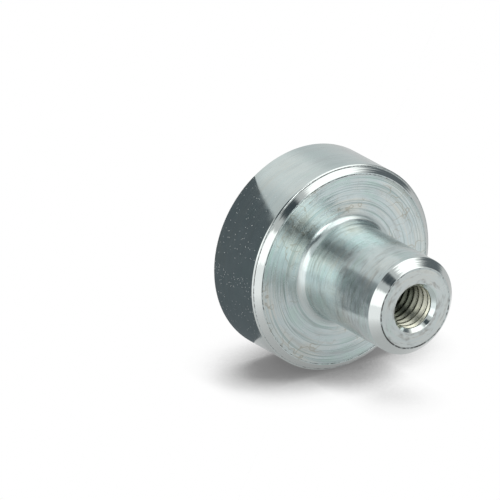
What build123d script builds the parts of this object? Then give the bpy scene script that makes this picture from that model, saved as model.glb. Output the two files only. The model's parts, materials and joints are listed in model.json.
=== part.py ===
from build123d import *
from math import radians, tan
import os

# Pot magnet with a threaded neck, lying on the side wall of its pot.
#
# Frame: the origin is the centre of the magnetic face. Every piece is coaxial with Y. The magnetic
# face looks along +Y, the neck and its threaded hole run away along -Y, and +Z is up.
# A depth is a distance from the magnetic face towards the neck, measured as an offset of
# FACE_PLANE, whose normal is -Y. All sizes are in millimetres.

FACE_PLANE = Plane.XZ

# Steel body: one turned piece, a shallow cup with a neck on its back
POT_DIAMETER = 34.0
POT_HEIGHT = 11.3
WALL_THICKNESS = 1.2
OVERALL_LENGTH = 30.1
NECK_DIAMETER = 16.0

# Edges of the steel body
BACK_CHAMFER_RADIAL = 1.15
BACK_CHAMFER_AXIAL = 1.0
NECK_CHAMFER = 1.3
ROOT_FILLET = 1.4
RIM_OUTER_BREAK = 0.15
RIM_INNER_BREAK = 0.15

# Hole in the neck: M8 tap drill, countersunk to just over the thread's outside diameter
TAP_DRILL_DIAMETER = 6.8
TAP_DRILL_DEPTH = 17.0
DRILL_POINT_ANGLE = 118.0
COUNTERSINK_DIAMETER = 8.1
COUNTERSINK_ANGLE = 90.0

# Ferrite disc and the resin that holds it
DISC_DIAMETER = 28.8
DISC_THICKNESS = 7.0
DISC_EDGE_CHAMFER = 0.3
BOND_THICKNESS = 0.15
POTTING_RECESS = 0.3

# Sizes that follow from the ones above
pot_radius = POT_DIAMETER / 2
neck_radius = NECK_DIAMETER / 2
neck_length = OVERALL_LENGTH - POT_HEIGHT
pocket_radius = pot_radius - WALL_THICKNESS
pocket_depth = DISC_THICKNESS + BOND_THICKNESS
disc_radius = DISC_DIAMETER / 2
drill_radius = TAP_DRILL_DIAMETER / 2
drill_point_length = drill_radius / tan(radians(DRILL_POINT_ANGLE / 2))

back_plane = FACE_PLANE.offset(POT_HEIGHT)
neck_end_plane = FACE_PLANE.offset(OVERALL_LENGTH)
drill_shoulder_plane = FACE_PLANE.offset(OVERALL_LENGTH - TAP_DRILL_DEPTH)


def circles_at(piece, depth):
    """The circular edges of a piece at one depth, smallest first."""
    at_depth = piece.edges().filter_by_position(Axis.Y, -depth, -depth)
    return at_depth.filter_by(GeomType.CIRCLE).sort_by(SortBy.RADIUS)


# Steel body: cup and neck in one piece
with BuildPart() as pot_body:
    with BuildSketch(FACE_PLANE):
        Circle(pot_radius)
    extrude(amount=POT_HEIGHT)
    with BuildSketch(back_plane):
        Circle(neck_radius)
    extrude(amount=neck_length)

    # the concave root of the neck, then the chamfers of the neck end and the pot's back
    fillet(circles_at(pot_body, POT_HEIGHT)[0], radius=ROOT_FILLET)
    chamfer(circles_at(pot_body, OVERALL_LENGTH)[-1], length=NECK_CHAMFER)
    back_face = pot_body.faces().filter_by(GeomType.PLANE).sort_by(Axis.Y)[1]
    chamfer(
        circles_at(pot_body, POT_HEIGHT)[-1],
        length=BACK_CHAMFER_RADIAL,
        length2=BACK_CHAMFER_AXIAL,
        reference=back_face,
    )

    # the pocket for the magnet, and the broken edges of the rim around it
    with BuildSketch(FACE_PLANE):
        Circle(pocket_radius)
    extrude(amount=pocket_depth, mode=Mode.SUBTRACT)
    chamfer(circles_at(pot_body, 0)[-1], length=RIM_OUTER_BREAK)
    chamfer(circles_at(pot_body, 0)[0], length=RIM_INNER_BREAK)

    # the blind hole in the neck, with its countersink and the cone that the drill's point leaves
    with Locations(neck_end_plane):
        CounterSinkHole(
            radius=drill_radius,
            counter_sink_radius=COUNTERSINK_DIAMETER / 2,
            depth=TAP_DRILL_DEPTH,
            counter_sink_angle=COUNTERSINK_ANGLE,
        )
    with Locations(drill_shoulder_plane):
        Cone(
            bottom_radius=drill_radius,
            top_radius=0,
            height=drill_point_length,
            rotation=(180, 0, 0),
            align=(Align.CENTER, Align.CENTER, Align.MIN),
            mode=Mode.SUBTRACT,
        )

# Ferrite disc: its front is flush with the rim
with BuildPart() as magnet_disc:
    with BuildSketch(FACE_PLANE):
        Circle(disc_radius)
    extrude(amount=DISC_THICKNESS)
    chamfer(magnet_disc.edges().filter_by(GeomType.CIRCLE), length=DISC_EDGE_CHAMFER)

# Thin film of adhesive between the disc and the floor of the pocket
with BuildPart() as bond_layer:
    with BuildSketch(FACE_PLANE.offset(DISC_THICKNESS)):
        Circle(disc_radius - DISC_EDGE_CHAMFER)
    extrude(amount=BOND_THICKNESS)

# Cast resin ring that fills the pocket around the disc, a little below the rim
with BuildPart() as potting_ring:
    with BuildSketch(FACE_PLANE.offset(POTTING_RECESS)):
        Circle(pocket_radius)
    extrude(amount=pocket_depth - POTTING_RECESS)
    add(magnet_disc.part, mode=Mode.SUBTRACT)
    add(bond_layer.part, mode=Mode.SUBTRACT)

pot_body.part.label = "pot_body"
magnet_disc.part.label = "magnet_disc"
bond_layer.part.label = "bond_layer"
potting_ring.part.label = "potting_ring"

os.makedirs("parts", exist_ok=True)
export_step(pot_body.part, "parts/pot_body.step")
export_step(magnet_disc.part, "parts/magnet_disc.step")
export_step(bond_layer.part, "parts/bond_layer.step")
export_step(potting_ring.part, "parts/potting_ring.step")
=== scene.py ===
import json
import math

import bmesh
import bpy
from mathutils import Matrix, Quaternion, Vector


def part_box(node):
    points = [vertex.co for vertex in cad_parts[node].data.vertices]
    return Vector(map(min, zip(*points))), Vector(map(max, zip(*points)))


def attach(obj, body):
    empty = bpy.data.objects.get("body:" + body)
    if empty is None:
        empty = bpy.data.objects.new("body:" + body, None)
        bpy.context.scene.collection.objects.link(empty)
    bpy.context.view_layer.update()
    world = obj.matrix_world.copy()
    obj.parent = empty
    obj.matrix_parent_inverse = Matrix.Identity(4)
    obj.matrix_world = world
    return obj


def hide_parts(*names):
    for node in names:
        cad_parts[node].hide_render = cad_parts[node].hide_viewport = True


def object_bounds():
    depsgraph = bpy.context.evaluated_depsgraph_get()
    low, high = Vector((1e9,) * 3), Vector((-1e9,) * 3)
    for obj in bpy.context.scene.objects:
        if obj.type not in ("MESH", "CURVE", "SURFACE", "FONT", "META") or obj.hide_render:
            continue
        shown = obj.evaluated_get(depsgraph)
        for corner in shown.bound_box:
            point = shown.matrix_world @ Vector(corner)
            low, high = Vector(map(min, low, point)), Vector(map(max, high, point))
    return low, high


# Pot magnet with a threaded neck. Everything is in metres, in the row frame: the magnetic face is
# in the plane y = 0 and looks along +Y, the neck runs away along -Y, and +Z is up.
# A depth is a distance from the magnetic face towards the neck, so y is minus the depth.

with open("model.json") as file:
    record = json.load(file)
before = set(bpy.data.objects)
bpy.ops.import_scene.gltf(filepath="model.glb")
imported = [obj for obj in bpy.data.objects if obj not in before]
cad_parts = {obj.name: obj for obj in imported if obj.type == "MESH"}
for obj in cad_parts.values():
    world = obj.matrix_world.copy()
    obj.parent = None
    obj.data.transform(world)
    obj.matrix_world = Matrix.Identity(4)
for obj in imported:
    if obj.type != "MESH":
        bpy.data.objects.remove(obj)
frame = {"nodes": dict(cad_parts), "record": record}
cad_low, cad_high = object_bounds()

MM = 0.001
MICRON = 1e-6
body_low, body_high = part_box("pot_body")
mounts = {mount["name"]: mount for mount in frame["record"]["mounts"]}

# Steel body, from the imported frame
POT_RADIUS = body_high.z
OVERALL_LENGTH = -body_low.y
POCKET_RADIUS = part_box("potting_ring")[1].x
POCKET_DEPTH = -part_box("bond_layer")[0].y
DISC_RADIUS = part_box("magnet_disc")[1].x
DISC_THICKNESS = -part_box("magnet_disc")[0].y
POTTING_RECESS = -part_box("potting_ring")[1].y
NECK_RADIUS = mounts["neck_spigot"]["dims"]["r_mm"] * MM
BORE_RADIUS = mounts["neck_thread"]["dims"]["r_mm"] * MM
BORE_START = -mounts["neck_thread"]["pos_m"][1]
BORE_END = BORE_START - mounts["neck_thread"]["dims"]["length_mm"] * MM

# Steel body, edges and faces that the frame's boxes and mounts don't give
POT_HEIGHT = 11.3 * MM
BACK_CHAMFER_RADIAL = 1.15 * MM
BACK_CHAMFER_AXIAL = 1.0 * MM
NECK_CHAMFER = 1.3 * MM
ROOT_FILLET = 1.4 * MM
RIM_OUTER_BREAK = 0.15 * MM
RIM_INNER_BREAK = 0.15 * MM
POCKET_ROUND = 0.2 * MM
EDGE_ROUND = 0.06 * MM
DRILL_POINT_ANGLE = 118
DRILL_POINT = BORE_RADIUS / math.tan(math.radians(DRILL_POINT_ANGLE / 2))
MOUTH_RADIUS = BORE_RADIUS + (OVERALL_LENGTH - BORE_START)

# Tool marks that are deep enough to be shape: waves on the back, as (length, height), and a scored
# line on the pot's chamfer, on the back and on the neck's end, each so far in from the surface's edge
BACK_WAVES = ((3.3 * MM, 16 * MICRON), (1.5 * MM, 9 * MICRON), (0.83 * MM, 4 * MICRON))
SCORE_DEPTH = 0.05 * MM
SCORE_WIDTH = 0.12 * MM
END_SCORE_WIDTH = 2 * SCORE_WIDTH
CHAMFER_SCORE_IN = 0.26 * MM
BACK_SCORE_IN = 0.1 * MM
END_SCORE_IN = 0.05 * MM

# Thread of the neck: M8, cut outwards from the bore's wall. Its flats are shares of the pitch
PITCH = 1.25 * MM
CREST_FLAT = 0.18
ROOT_FLAT = 0.125
THREAD_HEIGHT = 0.6 * MM
THREADED_LENGTH = 14.0 * MM
RUN_OUT = 1.5 * PITCH
LEAD_IN = 0.4 * PITCH

# Ferrite disc and resin
DISC_CHAMFER = 0.3 * MM
MENISCUS = 0.22 * MM

# Meshes: how finely full circles, arcs (in degrees), straight runs, the thread's flanks and flats
# and the resin's skin are divided
SEGMENTS = 256
ARC_STEP = 7.5
COARSE_STEP = 4 * MM
BACK_STEP = 0.15 * MM
FLANK_STEPS = 4
FLAT_STEPS = 2
SKIN_STEPS = 12

# Meshes: a ring this close to each end of a straight run keeps its shading flat, and vertices
# within the weld distance are merged
SUPPORT = 0.12 * MM
WELD = 1e-7


# ---------------------------------------------------------------- outlines

def divisions(length, step):
    """Where a straight run is divided, as shares of its length."""
    middle = length - 2 * SUPPORT
    if middle < SUPPORT:
        return []
    count = math.ceil(middle / step)
    return [(SUPPORT + middle * k / count) / length for k in range(count + 1)]


def rounded_outline(corners):
    """Points (depth, radius, finish) along straight runs joined by arcs.

    A corner is (depth, radius, rounding, finish), where finish names the surface that starts there,
    and a fifth item, if any, names the surface of the arc itself.
    """
    points = []
    last = len(corners) - 1
    for i, (depth, radius, rounding, finish, *bend) in enumerate(corners):
        here = Vector((depth, radius))
        arc = [here]
        if rounding and 0 < i < last:
            back = (Vector(corners[i - 1][:2]) - here).normalized()
            ahead = (Vector(corners[i + 1][:2]) - here).normalized()
            half = back.angle(ahead) / 2
            centre = here + (back + ahead).normalized() * rounding / math.sin(half)
            start = here + back * rounding / math.tan(half) - centre
            end = here + ahead * rounding / math.tan(half) - centre
            turn = start.angle(end)
            count = max(2, round(math.degrees(turn) / ARC_STEP))
            arc = [
                centre
                + (start * math.sin(turn * (1 - k / count)) + end * math.sin(turn * k / count))
                / math.sin(turn)
                for k in range(count + 1)
            ]
        before = corners[i - 1][3]
        if points:
            origin = Vector(points[-1][:2])
            run = arc[0] - origin
            step = BACK_STEP if before == "back" else COARSE_STEP
            points += [(*(origin + run * share), before) for share in divisions(run.length, step)]
        # the surface changes in the middle of an arc, unless the arc is a surface of its own
        middle = len(arc) // 2
        for k, point in enumerate(arc):
            if bend and k:
                points.append((*point, bend[0]))
            else:
                points.append((*point, before if k <= middle and i else finish))
    return points


def ring(mesh, depth, radius):
    """A ring of vertices at one depth; on the axis it is a single vertex."""
    if radius < WELD:
        return [mesh.verts.new((0, -depth, 0))]
    turns = [math.tau * k / SEGMENTS for k in range(SEGMENTS)]
    return [mesh.verts.new((radius * math.cos(t), -depth, radius * math.sin(t))) for t in turns]


def join_rings(mesh, first, second, material):
    """A band of faces between two rings."""
    for k in range(SEGMENTS):
        after = (k + 1) % SEGMENTS
        if len(first) == 1:
            corners = [first[0], second[after], second[k]]
        elif len(second) == 1:
            corners = [first[k], first[after], second[0]]
        else:
            corners = [first[k], first[after], second[after], second[k]]
        mesh.faces.new(corners).material_index = material


def lathe(mesh, outline, finishes):
    """Faces made by turning an outline about the Y axis."""
    previous = None
    for depth, radius, finish in outline:
        current = ring(mesh, depth, radius)
        if previous:
            join_rings(mesh, previous, current, finishes.index(finish))
        previous = current


def finish_piece(mesh, name, materials, replaced):
    """Turns a bmesh into a smooth-shaded piece that rides on the one body of the row."""
    bmesh.ops.remove_doubles(mesh, verts=mesh.verts, dist=WELD)
    bmesh.ops.dissolve_degenerate(mesh, edges=mesh.edges, dist=WELD)
    bmesh.ops.recalc_face_normals(mesh, faces=mesh.faces)
    data = bpy.data.meshes.new(name)
    mesh.to_mesh(data)
    mesh.free()
    data.shade_smooth()
    for material in materials:
        data.materials.append(material)
    piece = bpy.data.objects.new(name, data)
    bpy.context.scene.collection.objects.link(piece)
    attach(piece, "root")
    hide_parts(replaced)


# ---------------------------------------------------------------- steel body

BODY_FINISHES = [
    "pocket", "rim", "side", "chamfer", "back", "root", "neck", "end", "score", "countersink", "bore",
]


def back_waves(radius):
    """How far the turning tool left the pot's back below its plane at a radius."""
    inner = NECK_RADIUS + ROOT_FILLET
    outer = POT_RADIUS - BACK_CHAMFER_RADIAL
    share = (radius - inner) / (outer - inner)
    if not 0 < share < 1:
        return 0
    depth = sum(height * (1 - math.cos(math.tau * radius / length)) for length, height in BACK_WAVES)
    return depth * math.sqrt(math.sin(math.pi * share))


def groove(start, end, along, width, finish):
    """A scored V on the straight run from start to end, as three corners of an outline."""
    run = (Vector(end) - Vector(start)).normalized()
    inward = Vector((run.y, -run.x))
    first = Vector(start) + run * along
    bottom = first + run * width / 2 + inward * SCORE_DEPTH
    last = first + run * width
    return [(*first, 0, "score"), (*bottom, 0, "score"), (*last, 0, finish)]


def body_outline():
    """From the middle of the pocket's floor round the rim and the back to the mouth of the hole."""
    chamfer_outer = (POT_HEIGHT - BACK_CHAMFER_AXIAL, POT_RADIUS)
    chamfer_inner = (POT_HEIGHT, POT_RADIUS - BACK_CHAMFER_RADIAL)
    neck_root = (POT_HEIGHT, NECK_RADIUS)
    neck_end = (OVERALL_LENGTH, NECK_RADIUS - NECK_CHAMFER)
    mouth = (OVERALL_LENGTH, MOUTH_RADIUS)
    corners = [
        (POCKET_DEPTH, 0, 0, "pocket"),
        (POCKET_DEPTH, POCKET_RADIUS, POCKET_ROUND, "pocket"),
        (RIM_INNER_BREAK, POCKET_RADIUS, EDGE_ROUND, "rim"),
        (0, POCKET_RADIUS + RIM_INNER_BREAK, EDGE_ROUND, "rim"),
        (0, POT_RADIUS - RIM_OUTER_BREAK, EDGE_ROUND, "rim"),
        (RIM_OUTER_BREAK, POT_RADIUS, EDGE_ROUND, "side"),
        (*chamfer_outer, EDGE_ROUND, "chamfer"),
        *groove(chamfer_outer, chamfer_inner, CHAMFER_SCORE_IN, SCORE_WIDTH, "chamfer"),
        (*chamfer_inner, EDGE_ROUND, "back"),
        *groove(chamfer_inner, neck_root, BACK_SCORE_IN, SCORE_WIDTH, "back"),
        (*neck_root, ROOT_FILLET, "neck", "root"),
        (OVERALL_LENGTH - NECK_CHAMFER, NECK_RADIUS, EDGE_ROUND, "chamfer"),
        (*neck_end, EDGE_ROUND, "end"),
        *groove(neck_end, mouth, END_SCORE_IN, END_SCORE_WIDTH, "end"),
        (*mouth, 0, "countersink"),
    ]
    return [
        (depth - back_waves(radius) if finish == "back" else depth, radius, finish)
        for depth, radius, finish in rounded_outline(corners)
    ]


def thread_outline():
    """One pitch of the internal thread, as (share of the pitch, share of the thread's height)."""
    flank = (1 - CREST_FLAT - ROOT_FLAT) / 2
    root = CREST_FLAT + flank
    corners = [(0, 0), (CREST_FLAT, 0), (root, 1), (root + ROOT_FLAT, 1), (1, 0)]
    points = []
    for (along, height), (next_along, next_height) in zip(corners, corners[1:]):
        steps = FLAT_STEPS if height == next_height else FLANK_STEPS
        for k in range(steps):
            share = k / steps
            points.append((
                along + (next_along - along) * share,
                height + (next_height - height) * share,
            ))
    return points


def bore_radius_at(depth, height):
    """Radius of the hole at a depth, where height is the profile's share of the thread's height."""
    from_mouth = BORE_START - depth
    from_last_turn = depth - (OVERALL_LENGTH - THREADED_LENGTH)
    fade = min(1, max(0, from_last_turn / RUN_OUT), max(0, from_mouth / LEAD_IN))
    countersink = MOUTH_RADIUS - (OVERALL_LENGTH - depth)
    return max(BORE_RADIUS + THREAD_HEIGHT * height * fade, countersink)


def cut_thread(mesh):
    """The wall of the hole with its countersink and thread. Its rows run along the helix, so that each
    crest is one unbroken line."""
    profile = thread_outline()
    turns = math.ceil((OVERALL_LENGTH - BORE_END) / PITCH) + 2
    rows = []
    for turn in range(turns):
        for along, height in profile:
            row = []
            for k in range(SEGMENTS + 1):
                # from +X to +Z is a turn about -Y, so a right-hand thread runs towards -Y with it
                share = k / SEGMENTS
                depth = OVERALL_LENGTH - (turn + along - share) * PITCH
                depth = min(OVERALL_LENGTH, max(BORE_END, depth))
                radius = bore_radius_at(depth, height)
                angle = math.tau * share
                x, z = radius * math.cos(angle), radius * math.sin(angle)
                row.append(mesh.verts.new((x, -depth, z)))
            rows.append(row)
    for upper, lower in zip(rows, rows[1:]):
        for k in range(SEGMENTS):
            corners = [upper[k], upper[k + 1], lower[k + 1], lower[k]]
            places = {tuple(round(c / WELD) for c in v.co) for v in corners}
            # past either end of the wall the rows fall together, and there is no face
            if len(places) > 2:
                face = mesh.faces.new(corners)
                outside = -face.calc_center_median().y > BORE_START
                face.material_index = BODY_FINISHES.index("countersink" if outside else "bore")


def build_body():
    made = body_materials()
    mesh = bmesh.new()
    lathe(mesh, body_outline(), BODY_FINISHES)
    cut_thread(mesh)
    lathe(mesh, [(BORE_END, BORE_RADIUS, "bore"), (BORE_END - DRILL_POINT, 0, "bore")], BODY_FINISHES)
    materials = [made[finish] for finish in BODY_FINISHES]
    finish_piece(mesh, "zinc_plated_pot", materials, "pot_body")


# ---------------------------------------------------------------- magnet and resin

def build_disc():
    corners = [
        (0, 0, 0, "ferrite"),
        (0, DISC_RADIUS - DISC_CHAMFER, EDGE_ROUND, "ferrite"),
        (DISC_CHAMFER, DISC_RADIUS, EDGE_ROUND, "ferrite"),
        (DISC_THICKNESS - DISC_CHAMFER, DISC_RADIUS, EDGE_ROUND, "ferrite"),
        (DISC_THICKNESS, DISC_RADIUS - DISC_CHAMFER, EDGE_ROUND, "ferrite"),
        (DISC_THICKNESS, 0, 0, "ferrite"),
    ]
    mesh = bmesh.new()
    lathe(mesh, rounded_outline(corners), ["ferrite"])
    finish_piece(mesh, "ferrite_disc", [ferrite()], "magnet_disc")


def build_potting():
    """The resin ring: its skin climbs a little where it wets the disc and the wall."""
    width = POCKET_RADIUS - DISC_RADIUS
    skin = []
    for k in range(SKIN_STEPS + 1):
        share = k / SKIN_STEPS
        sag = MENISCUS * (1 - (2 * share - 1) ** 4)
        skin.append((POTTING_RECESS + sag, DISC_RADIUS + width * share, "resin"))
    bottom = [
        (POCKET_DEPTH, POCKET_RADIUS, "resin"),
        (POCKET_DEPTH, DISC_RADIUS, "resin"),
        skin[0],
    ]
    mesh = bmesh.new()
    lathe(mesh, skin + bottom, ["resin"])
    finish_piece(mesh, "cast_resin_ring", [resin()], "potting_ring")


# ---------------------------------------------------------------- materials

class Shader:
    """A material under construction: short calls that make nodes and link them."""

    def __init__(self, name):
        self.material = bpy.data.materials.new(name)
        self.material.use_nodes = True
        self.tree = self.material.node_tree
        self.bsdf = self.tree.nodes["Principled BSDF"]

    def feed(self, value, socket):
        """Links another node's output to a socket, or sets the socket's own value."""
        if isinstance(value, bpy.types.NodeSocket):
            self.tree.links.new(value, socket)
        elif socket.type == "RGBA" and len(value) == 3:
            socket.default_value = (*value, 1)
        else:
            socket.default_value = value

    def node(self, kind, inputs=(), **settings):
        """A new node, with its inputs given by name or number."""
        made = self.tree.nodes.new(kind)
        for key, value in settings.items():
            setattr(made, key, value)
        for key, value in dict(inputs).items():
            self.feed(value, made.inputs[key])
        return made

    def math(self, operation, *values):
        made = self.node("ShaderNodeMath", dict(enumerate(values)), operation=operation)
        return made.outputs[0]

    def vector(self, operation, *values):
        made = self.node("ShaderNodeVectorMath", dict(enumerate(values)), operation=operation)
        return made.outputs["Value" if operation == "DOT_PRODUCT" else "Vector"]

    def ramp(self, value, *stops):
        """Maps a value through (position, colour) stops."""
        made = self.node("ShaderNodeValToRGB", {"Fac": value})
        elements = made.color_ramp.elements
        while len(elements) < len(stops):
            elements.new(0.5)
        for element, (position, colour) in zip(elements, stops):
            element.position = position
            element.color = (*colour, 1)
        return made.outputs["Color"]

    def greys(self, value, *stops):
        """Maps a value through (position, level) stops."""
        return self.ramp(value, *[(position, (level, level, level)) for position, level in stops])

    def mix(self, share, first, second):
        made = self.node("ShaderNodeMix", data_type="RGBA")
        for socket, value in zip((0, 6, 7), (share, first, second)):
            self.feed(value, made.inputs[socket])
        return made.outputs[2]

    def mix_values(self, share, first, second):
        return self.node("ShaderNodeMix", {0: share, 2: first, 3: second}).outputs[0]

    def range(self, value, low, high, out_low, out_high, kind="LINEAR"):
        made = self.node(
            "ShaderNodeMapRange",
            {0: value, 1: low, 2: high, 3: out_low, 4: out_high},
            interpolation_type=kind,
        )
        return made.outputs[0]

    def noise(self, vector, scale=1.0, detail=2.0, roughness=0.5):
        made = self.node(
            "ShaderNodeTexNoise",
            {"Vector": vector, "Scale": scale, "Detail": detail, "Roughness": roughness},
        )
        return made.outputs["Fac"]

    def position(self):
        """Position on the object, in millimetres."""
        place = self.node("ShaderNodeTexCoord").outputs["Object"]
        return self.vector("MULTIPLY", place, (1 / MM, 1 / MM, 1 / MM))

    def split(self, vector):
        return self.node("ShaderNodeSeparateXYZ", {"Vector": vector}).outputs

    def turned(self, position):
        """Coordinates that follow the tool round the axis: a unit circle, and mm across the marks."""
        x, y, z = self.split(position)
        squares = self.math("ADD", self.math("MULTIPLY", x, x), self.math("MULTIPLY", z, z))
        radius = self.math("SQRT", squares)
        circle_x = self.math("DIVIDE", x, radius)
        circle_z = self.math("DIVIDE", z, radius)
        across = self.math("ADD", radius, y)
        inputs = {"X": circle_x, "Y": circle_z, "Z": across}
        return self.node("ShaderNodeCombineXYZ", inputs).outputs[0]

    def marks(self, turned, long_waves, lines, hairs):
        """Height of concentric tool marks, from the microns given for each size of mark."""
        sizes = ((long_waves, 0.8, 0.9, 2), (lines, 0.8, 3.0, 1), (hairs, 0.9, 4.5, 0))
        height = 0.0
        for microns, around, across, detail in sizes:
            grain = self.noise(self.vector("MULTIPLY", turned, (around, around, across)), detail=detail)
            height = self.math("MULTIPLY_ADD", grain, microns, height)
        return height

    def bump(self, height, unit=MICRON):
        return self.node("ShaderNodeBump", {"Height": height, "Distance": unit}).outputs[0]

    def specks(self, position, per_mm, radius, share):
        """A mask of sparse dots: this share of the cells has a dot of the given radius in mm."""
        cells = self.node("ShaderNodeTexVoronoi", {"Vector": position, "Scale": per_mm})
        near = self.math("LESS_THAN", cells.outputs["Distance"], radius * per_mm)
        draw = self.node("ShaderNodeSeparateColor", {"Color": cells.outputs["Color"]}).outputs[0]
        return self.math("MULTIPLY", near, self.math("GREATER_THAN", draw, 1 - share))

    def glow(self, colour, strength=1.0):
        return self.node("ShaderNodeEmission", {"Color": colour, "Strength": strength}).outputs[0]

    def mix_shader(self, share, first, second):
        return self.node("ShaderNodeMixShader", {0: share, 1: first, 2: second}).outputs[0]

    def surface(self, shader):
        """Puts another shader in the place of the principled one."""
        self.feed(shader, self.tree.nodes["Material Output"].inputs["Surface"])
        self.tree.nodes.remove(self.bsdf)

    def set(self, **values):
        """Feeds the principled shader's sockets, and gives the finished material."""
        for key, value in values.items():
            self.feed(value, self.bsdf.inputs[key.replace("_", " ")])
        return self.material


ZINC_TEAL = (0.57, 0.71, 0.68)
ZINC_BLUE = (0.62, 0.71, 0.725)
ZINC_SILVER = (0.66, 0.73, 0.725)
ZINC_STRAW = (0.69, 0.72, 0.68)
ZINC_GREY = (0.605, 0.675, 0.67)
ZINC_BRIGHT = (0.63, 0.665, 0.655)
ZINC_WORN = (0.47, 0.46, 0.42)
ZINC_DARK = (0.36, 0.46, 0.445)
STAIN = (0.44, 0.42, 0.35)
GRIME = (0.30, 0.29, 0.27)
DUST = (0.80, 0.82, 0.80)


def coarseness(shader, position):
    """How coarse the tool marks are: full on the back of the pot and near it, faint on the neck's end."""
    y = shader.split(position)[1]
    back = -POT_HEIGHT / MM
    faint_past, full_before = back - 8, back - 3
    return shader.range(y, faint_past, full_before, 0.08, 1.0, "SMOOTHSTEP")


def plating(shader, position, turned, base, strength, lined):
    """The colour of the zinc: its thin clear coat drifts between teal, blue, silver and straw, and
    darker lines follow the tool."""
    patches = shader.noise(position, 0.16)
    streaks = shader.noise(shader.vector("MULTIPLY", turned, (1.0, 1.0, 2.2)), detail=2)
    drift = shader.math("MULTIPLY_ADD", patches, 0.55, shader.math("MULTIPLY", streaks, 0.45))
    hues = ((0.38, ZINC_TEAL), (0.46, ZINC_BLUE), (0.53, ZINC_SILVER), (0.62, ZINC_STRAW))
    film = shader.ramp(drift, *hues)
    if lined:
        lines = shader.noise(shader.vector("MULTIPLY", turned, (0.9, 0.9, 5.0)), detail=1)
        share = shader.range(lines, 0.52, 0.68, 0.0, lined)
        film = shader.mix(shader.math("MULTIPLY", share, coarseness(shader, position)), film, ZINC_DARK)
    return shader.mix(strength, base, film)


def dried_edges(shader, position, strength):
    """A mask of thin wandering lines, where drops of rinsing water have dried in some places."""
    drops = shader.noise(position, 0.5, detail=1)
    line = shader.math("ABSOLUTE", shader.math("SUBTRACT", drops, 0.5))
    place = shader.range(shader.noise(position, 0.16), 0.46, 0.54, 0.0, strength)
    return shader.math("MULTIPLY", shader.range(line, 0.0, 0.03, 1.0, 0.0, "SMOOTHSTEP"), place)


def zinc(
    name, roughness, marks, anisotropy=0.0, base=ZINC_GREY, film=0.5, lined=0.0, dusty=0.0, stains=0.0,
    grime=0.0, haze=0.0,
):
    """Zinc-plated turned steel, with its tool marks, a film of varying colour and some dirt.

    marks are the heights in microns of its long waves, lines and hairs. film, lined, stains and grime
    say how strongly each shows, dusty is the share of cells with a speck, and haze makes it less metallic.
    """
    shader = Shader(name)
    position = shader.position()
    turned = shader.turned(position)
    clouds = shader.noise(position, 0.7, detail=4)
    colour = plating(shader, position, turned, base, film, lined)
    height = shader.marks(turned, *marks)
    if lined:
        height = shader.math("MULTIPLY", height, coarseness(shader, position))
    metallic = 1.0 - haze
    if stains:
        colour = shader.mix(dried_edges(shader, position, stains), colour, STAIN)
    if grime:
        streaks = shader.vector("MULTIPLY", turned, (2.6, 2.6, 1.5))
        dirt = shader.noise(streaks, detail=3, roughness=0.6)
        colour = shader.mix(shader.range(dirt, 0.5, 0.72, 0.0, grime), colour, GRIME)
    if dusty:
        dust = shader.specks(position, 2.6, 0.055, dusty)
        colour = shader.mix(dust, colour, DUST)
        metallic = shader.math("SUBTRACT", metallic, dust)
    return shader.set(
        Base_Color=colour,
        Metallic=metallic,
        Roughness=shader.range(clouds, 0.35, 0.65, roughness * 0.8, roughness * 1.25),
        Anisotropic=anisotropy,
        Anisotropic_Rotation=0.25,
        Tangent=shader.node("ShaderNodeTangent", direction_type="RADIAL", axis="Y").outputs[0],
        Normal=shader.bump(height),
    )


def score():
    """Painted shade in a scored line, which comes and goes round the edge."""
    shader = Shader("scored_line_shade")
    position = shader.position()
    patches = shader.math("MULTIPLY", shader.noise(position, 0.08), 0.5)
    groove_shade = shader.math("MULTIPLY_ADD", shader.noise(position, 1.8), 0.5, patches)
    return shader.set(
        # the dark end of this ramp is painted shade in the groove
        Base_Color=shader.ramp(groove_shade, (0.42, (0.10, 0.10, 0.10)), (0.53, (0.54, 0.60, 0.60))),
        Metallic=0.7,
        Roughness=shader.range(groove_shade, 0.35, 0.65, 0.6, 0.4),
    )


def bore():
    """The thread has taken less zinc: it looks straw-coloured at the mouth, and deeper in its colour
    darkens with depth, partly barer metal and partly painted shade in the blind hole.
    """
    shader = Shader("tapped_bore")
    position = shader.position()
    film = shader.noise(position, 1.2, detail=4)
    y = shader.split(position)[1]
    mouth = -OVERALL_LENGTH / MM
    dark_past = mouth + 6
    bare_and_shade_share = shader.range(y, mouth, dark_past, 0.0, 1.0)
    bare = shader.ramp(film, (0.35, (0.84, 0.84, 0.69)), (0.65, (0.95, 0.95, 0.83)))
    return shader.set(
        # darker with depth: barer metal, and painted shade deep in the blind hole
        Base_Color=shader.mix(bare_and_shade_share, bare, (0.14, 0.155, 0.12)),
        Metallic=0.8,
        Roughness=shader.range(film, 0.35, 0.65, 0.2, 0.34),
        Normal=shader.bump(shader.noise(position, 7.0, detail=3), 2 * MICRON),
    )


def ferrite():
    """Ground sintered ferrite: dark, matt and blotchy, with faint scratches and light specks."""
    shader = Shader("sintered_ferrite")
    position = shader.position()
    grain = shader.noise(position, 6.0, detail=6, roughness=0.7)
    blotches = shader.noise(position, 0.14, detail=4)
    stretched = shader.vector("MULTIPLY", position, (5.0, 1.0, 0.3))
    scratches = shader.noise(stretched, detail=4, roughness=0.7)
    tone = shader.math("MULTIPLY_ADD", grain, 0.3, shader.math("MULTIPLY", blotches, 0.7))
    base = shader.ramp(tone, (0.4, (0.040, 0.042, 0.043)), (0.6, (0.088, 0.084, 0.077)))
    base = shader.mix(shader.range(scratches, 0.56, 0.75, 0.0, 0.35), base, (0.16, 0.155, 0.14))
    return shader.set(
        Base_Color=shader.mix(shader.specks(position, 0.7, 0.05, 0.2), base, DUST),
        Roughness=shader.range(scratches, 0.3, 0.7, 0.45, 0.65),
        Normal=shader.bump(shader.math("ADD", grain, scratches), 4 * MICRON),
    )


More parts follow.
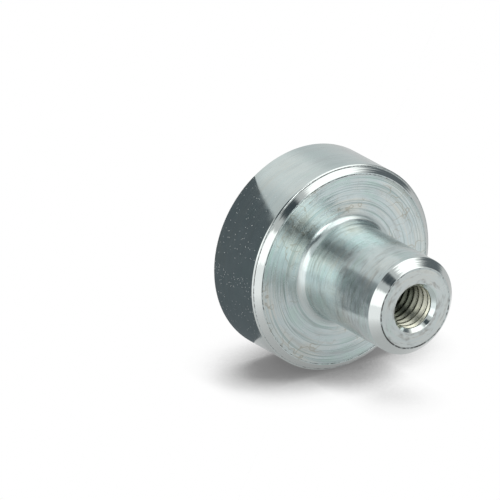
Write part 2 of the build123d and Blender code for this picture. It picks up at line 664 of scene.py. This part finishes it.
def resin():
    """Near-black cast resin with a satin, slightly uneven skin."""
    shader = Shader("cast_resin")
    waves = shader.noise(shader.position(), 1.4, detail=3)
    return shader.set(
        Base_Color=shader.ramp(waves, (0.3, (0.022, 0.026, 0.027)), (0.7, (0.034, 0.038, 0.039))),
        Roughness=shader.range(waves, 0.3, 0.7, 0.22, 0.4),
        Normal=shader.bump(waves, 30 * MICRON),
    )


def adhesive():
    """Cured adhesive film."""
    shader = Shader("cured_adhesive")
    blotches = shader.noise(shader.position(), 0.8, detail=4)
    return shader.set(
        Base_Color=shader.ramp(blotches, (0.3, (0.26, 0.25, 0.22)), (0.7, (0.34, 0.33, 0.29))),
        Roughness=shader.range(blotches, 0.3, 0.7, 0.4, 0.6),
    )


def body_materials():
    return {
        "pocket": zinc("zinc_pocket", 0.35, (4, 2, 0.5)),
        "rim": zinc("zinc_rim", 0.24, (2, 1.5, 0.4), base=ZINC_WORN, film=0.25, grime=0.4),
        "side": zinc("zinc_side", 0.16, (6, 0.8, 0.2), film=0.35, dusty=0.35, grime=0.15),
        "chamfer": zinc("zinc_chamfer", 0.1, (5, 22, 8), anisotropy=0.3, base=ZINC_BRIGHT, film=0.1),
        "back": zinc(
            "zinc_back", 0.22, (14, 34, 10), anisotropy=0.7, film=1.0, lined=0.7, stains=0.65, grime=0.25
        ),
        "root": zinc("zinc_root", 0.22, (8, 24, 9), anisotropy=0.6, film=0.5, lined=0.7),
        "neck": zinc(
            "zinc_neck", 0.17, (10, 30, 8), anisotropy=0.6, film=0.65, lined=0.8, grime=0.45, haze=0.14
        ),
        "end": zinc("zinc_end", 0.34, (4, 2, 0.6), base=ZINC_BRIGHT, film=0.5, grime=0.8),
        "score": score(),
        "countersink": zinc("zinc_countersink", 0.12, (2, 6, 2), anisotropy=0.3, base=ZINC_BRIGHT),
        "bore": bore(),
    }


def coat_bond():
    """The film of adhesive is the CAD node itself, with a better material."""
    bond = frame["nodes"]["bond_layer"]
    bond.data.materials.clear()
    bond.data.materials.append(adhesive())


# ---------------------------------------------------------------- camera, floor and light

CAMERA_AZIMUTH = -35.25
CAMERA_ELEVATION = 23.2
CAMERA_DISTANCE = 92.37 * POT_RADIUS
AIM_RIGHT = -0.482 * POT_RADIUS
AIM_UP = -0.0375 * POT_RADIUS
LENS = 720
SENSOR = 36

FILL = (0.66, 0.68, 0.68)
WHITE = (1, 1, 0.985)
SLATE = (0.112, 0.128, 0.138)
INK = (0.062, 0.08, 0.09)
DUSK = (0.24, 0.255, 0.26)
PANELS = [
    # name, distance, azimuth, elevation, width, height, turn, softness, colour, strength
    ("left_softbox", 0.60, -33, 7, 92, 42, 0, 0.2, WHITE, 1.6),
    ("right_softbox", 0.60, 70, 41, 46, 52, 20, 0.3, WHITE, 1.7),
    ("low_strip", 0.55, 48, 10, 16, 20, 0, 0.5, WHITE, 4.0),
    ("back_softbox", 0.60, -155, 40, 50, 26, 0, 0.7, WHITE, 0.9),
    ("gap_flag", 0.50, 22, 26, 22, 66, 28, 0.45, INK, 1.0),
    ("side_flag", 0.50, 118, 19, 29, 50, 0, 0.4, SLATE, 1.3),
    ("horizon_flag", 0.50, -112, 12, 56, 38, 0, 0.15, DUSK, 1.0),
    ("low_flag", 0.50, 80, 3, 50, 22, 0, 0.5, DUSK, 1.5),
]
FLOOR_GLOW = 1.36
FLOOR_GLOW_AZIMUTH = CAMERA_AZIMUTH - 40
FLOOR_GLOW_ENDS = (-40 * MM, 50 * MM)
FLOOR_GLOW_STOPS = (
    # share of the way from the right-hand end to the left-hand one, how bright its mirror image is
    (0, 0.48), (0.12, 0.65), (0.25, 0.61), (0.45, 0.49),
    (0.58, 0.44), (0.67, 0.45), (0.78, 0.56), (1, 0.86),
)
CONTACT_SHADOW = (
    # share of open sky above a point of the floor, how bright it looks there
    (0.15, 0.17), (0.30, 0.235), (0.51, 0.25), (0.58, 0.44), (0.81, 0.76), (0.87, 0.93), (0.97, 1),
)


def direction(azimuth, elevation):
    """The unit vector from the object towards a point seen at these angles, in degrees."""
    across = math.radians(azimuth)
    up = math.radians(elevation)
    return Vector((math.sin(across) * math.cos(up), -math.cos(across) * math.cos(up), math.sin(up)))


def place_camera():
    back = direction(CAMERA_AZIMUTH, CAMERA_ELEVATION)
    turn = (-back).to_track_quat("-Z", "Y")
    aim = turn @ Vector((AIM_RIGHT, AIM_UP, 0))
    data = bpy.data.cameras.new("camera")
    data.lens = LENS
    data.sensor_width = SENSOR
    data.clip_start = 0.01
    data.clip_end = 20
    camera = bpy.data.objects.new("camera", data)
    camera.location = aim + back * CAMERA_DISTANCE
    camera.rotation_mode = "QUATERNION"
    camera.rotation_quaternion = turn
    bpy.context.scene.collection.objects.link(camera)
    bpy.context.scene.camera = camera


def rectangle(name, half_width, half_height, z):
    """A flat mesh about the z axis, looking along +Z."""
    data = bpy.data.meshes.new(name)
    signs = ((-1, -1), (1, -1), (1, 1), (-1, 1))
    corners = [(x * half_width, y * half_height, z) for x, y in signs]
    data.from_pydata(corners, [], [(0, 1, 2, 3)])
    return data


def only_in_reflections(panel):
    panel.visible_camera = False
    panel.visible_diffuse = False
    panel.visible_shadow = False
    bpy.context.scene.collection.objects.link(panel)


def panel_material(name, colour, strength, half_width, half_height, softness):
    """A glow that fades out towards the panel's edges, over the given share of its half-size."""
    shader = Shader(name)
    across, along, _away = shader.split(shader.node("ShaderNodeTexCoord").outputs["Object"])
    masks = []
    for offset, half in ((across, half_width), (along, half_height)):
        share = shader.math("DIVIDE", shader.math("ABSOLUTE", offset), half)
        masks.append(shader.range(share, 1 - softness, 1, 1, 0, "SMOOTHSTEP"))
    clear = shader.node("ShaderNodeBsdfTransparent").outputs[0]
    lit = shader.glow(colour, strength)
    shader.surface(shader.mix_shader(shader.math("MULTIPLY", *masks), clear, lit))
    return shader.material


def place_panel(name, distance, azimuth, elevation, width, height, turn, softness, colour, strength):
    """A softbox or a dark flag, which only reflections see. It faces the object from the given
    direction, with its azimuth counted from the camera's. width, height and turn are angles too."""
    towards = direction(CAMERA_AZIMUTH + azimuth, elevation)
    half_width = distance * math.tan(math.radians(width / 2))
    half_height = distance * math.tan(math.radians(height / 2))
    data = rectangle(name, half_width, half_height, 0)
    data.materials.append(panel_material(name, colour, strength, half_width, half_height, softness))
    lean = Quaternion((0, 0, 1), math.radians(turn))
    panel = bpy.data.objects.new(name, data)
    panel.location = towards * distance
    panel.rotation_mode = "QUATERNION"
    panel.rotation_quaternion = towards.to_track_quat("Z", "Y") @ lean
    only_in_reflections(panel)


def place_face_flag():
    """A dark card beside the pot, level with its magnetic face: the pot's left side mirrors it."""
    segments = 96
    centre = Vector((-1.2 * POT_RADIUS, -0.01 * MM, 0))
    radius = 1.07 * POT_RADIUS
    turns = [math.tau * k / segments for k in range(segments)]
    corners = [centre + radius * Vector((math.cos(t), 0, math.sin(t))) for t in turns]
    data = bpy.data.meshes.new("face_flag")
    data.from_pydata(corners, [], [tuple(range(segments))])
    shader = Shader("face_flag")
    shader.surface(shader.glow(SLATE))
    data.materials.append(shader.material)
    only_in_reflections(bpy.data.objects.new("face_flag", data))


def floor_material():
    """White, with a soft contact shadow. Reflections see a dimmer floor, darkest in its middle."""
    shader = Shader("pale_floor")
    reach = 10.5 * MM
    openness = shader.node("ShaderNodeAmbientOcclusion", {"Distance": reach}, samples=8).outputs["AO"]
    seen = shader.greys(openness, *CONTACT_SHADOW)
    shade = shader.range(openness, 0.2, 0.9, 0.6, 1)
    place = shader.node("ShaderNodeTexCoord").outputs["Object"]
    leftwards = shader.vector("DOT_PRODUCT", place, direction(FLOOR_GLOW_AZIMUTH, 0))
    share = shader.range(leftwards, *FLOOR_GLOW_ENDS, 0, 1)
    glow = shader.greys(share, *FLOOR_GLOW_STOPS)
    camera_ray = shader.node("ShaderNodeLightPath").outputs["Is Camera Ray"]
    colour = shader.mix(camera_ray, glow, seen)
    strength = shader.mix_values(camera_ray, shader.math("MULTIPLY", shade, FLOOR_GLOW), 1)
    shader.surface(shader.glow(colour, strength))
    return shader.material


def place_floor():
    half = 4.0
    data = rectangle("floor", half, half, cad_low.z)
    data.materials.append(floor_material())
    floor = bpy.data.objects.new("floor", data)
    bpy.context.scene.collection.objects.link(floor)


def light_world():
    """Even fill from all sides. The camera sees plain white past the floor's edge."""
    world = bpy.data.worlds.new("studio")
    bpy.context.scene.world = world
    world.use_nodes = True
    tree = world.node_tree
    tree.nodes.clear()
    rays = tree.nodes.new("ShaderNodeLightPath")
    mix = tree.nodes.new("ShaderNodeMix")
    mix.data_type = "RGBA"
    mix.inputs[6].default_value = (*FILL, 1)
    mix.inputs[7].default_value = (*WHITE, 1)
    tree.links.new(rays.outputs["Is Camera Ray"], mix.inputs[0])
    background = tree.nodes.new("ShaderNodeBackground")
    tree.links.new(mix.outputs[2], background.inputs["Color"])
    output = tree.nodes.new("ShaderNodeOutputWorld")
    tree.links.new(background.outputs[0], output.inputs["Surface"])


def light_studio():
    light_world()
    for panel in PANELS:
        place_panel(*panel)
    place_face_flag()


place_camera()
place_floor()
light_studio()
build_body()
build_disc()
build_potting()
coat_bond()
bpy.context.scene.view_settings.view_transform = "Standard"
